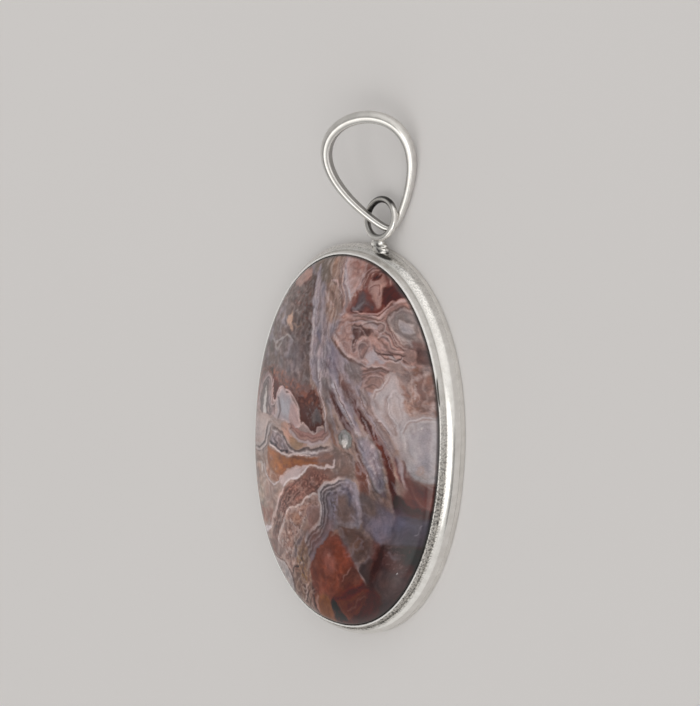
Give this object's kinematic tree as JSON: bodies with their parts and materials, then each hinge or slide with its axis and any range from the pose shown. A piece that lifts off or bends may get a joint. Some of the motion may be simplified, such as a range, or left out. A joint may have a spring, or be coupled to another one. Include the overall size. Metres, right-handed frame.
{
  "type": "crazy lace agate pendant",
  "caption": "Oval crazy lace agate cabochon held in a polished silver setting, with a round ring on its top edge and a teardrop bail linked through it for a chain.",
  "frame": {"origin": "middle of the whole pendant in plan, on the surface that its back lies on", "axes": "+Z out of the stone's face, +Y along the pendant towards the bail, +X to the right as the face is seen"},
  "size_m": [0.0328, 0.06, 0.0063],
  "materials": {
    "agate": "polished, with fine lace-like bands in red-brown, pink, grey and white",
    "setting_silver": "hand-polished silver, with a finely pitted satin lip",
    "plate_silver": "silver sheet, lightly brushed",
    "ring_silver": "polished silver wire",
    "bail_silver": "polished silver wire, drawn down towards the link"
  },
  "bodies": {
    "setting": {"agate_cabochon": "agate", "bezel": "setting_silver", "back_plate": "plate_silver", "hanging_ring": "ring_silver"},
    "bail": {"bail": "bail_silver"}
  },
  "joints": [
    {"name": "bail_swing", "type": "hinge", "parent": "setting", "child": "bail", "pos_m": [0.00208, 0.01794, 0.0016], "axis": [0, 0.165, 0.9863], "range_deg": [-90, 130]}
  ]
}
